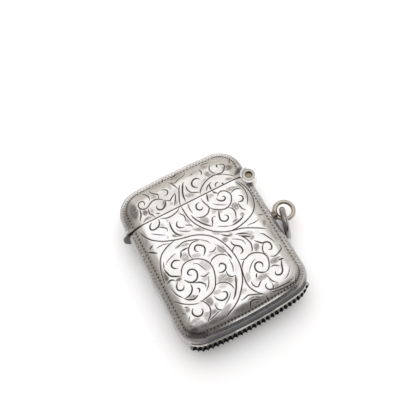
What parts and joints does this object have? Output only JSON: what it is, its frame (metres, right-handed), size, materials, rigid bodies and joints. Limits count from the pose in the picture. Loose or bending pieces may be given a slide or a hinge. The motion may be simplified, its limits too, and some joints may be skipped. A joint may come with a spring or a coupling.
{
  "type": "vesta case",
  "caption": "Engraved silver vesta case with a side-hinged spring lid, a serrated striker on its base, and a hanging loop with a jump ring.",
  "frame": {"origin": "on the flat back, at the middle of the case's width and height", "axes": "+X towards the hinge side, +Y towards the lid end, +Z out of the engraved front"},
  "size_m": [0.0446, 0.0471, 0.0106],
  "materials": {
    "silver": "polished, engraved and lightly worn",
    "dark_silver": "tarnished",
    "pin_brass": "dull",
    "spring_steel": "dull"
  },
  "bodies": {
    "case": {"body_front": "silver", "body_back": "silver", "striker_strip": "silver", "mouth_bezel": "silver", "body_bearer": "silver", "front_knuckle": "silver", "back_knuckle": "silver", "hinge_pin": "pin_brass", "lid_spring": "spring_steel", "spring_keeper": "silver", "loop_stud": "silver", "hanging_loop": "silver"},
    "lid": {"lid_front": "silver", "lid_back": "silver", "thumbpiece": "silver", "lid_bearer": "silver", "lid_knuckle": "silver"},
    "ring": {"jump_ring": "dark_silver"}
  },
  "joints": [
    {"name": "lid_hinge", "type": "hinge", "parent": "case", "child": "lid", "pos_m": [0.0178, 0.0115, 0.0053], "axis": [0, 0, -1], "range_deg": [0, 100]},
    {"name": "ring_round_loop", "type": "hinge", "parent": "case", "child": "ring", "pos_m": [0.02183, -0.0008, 0.0053], "axis": [0, 0, 1], "range_deg": [0, 200]}
  ]
}
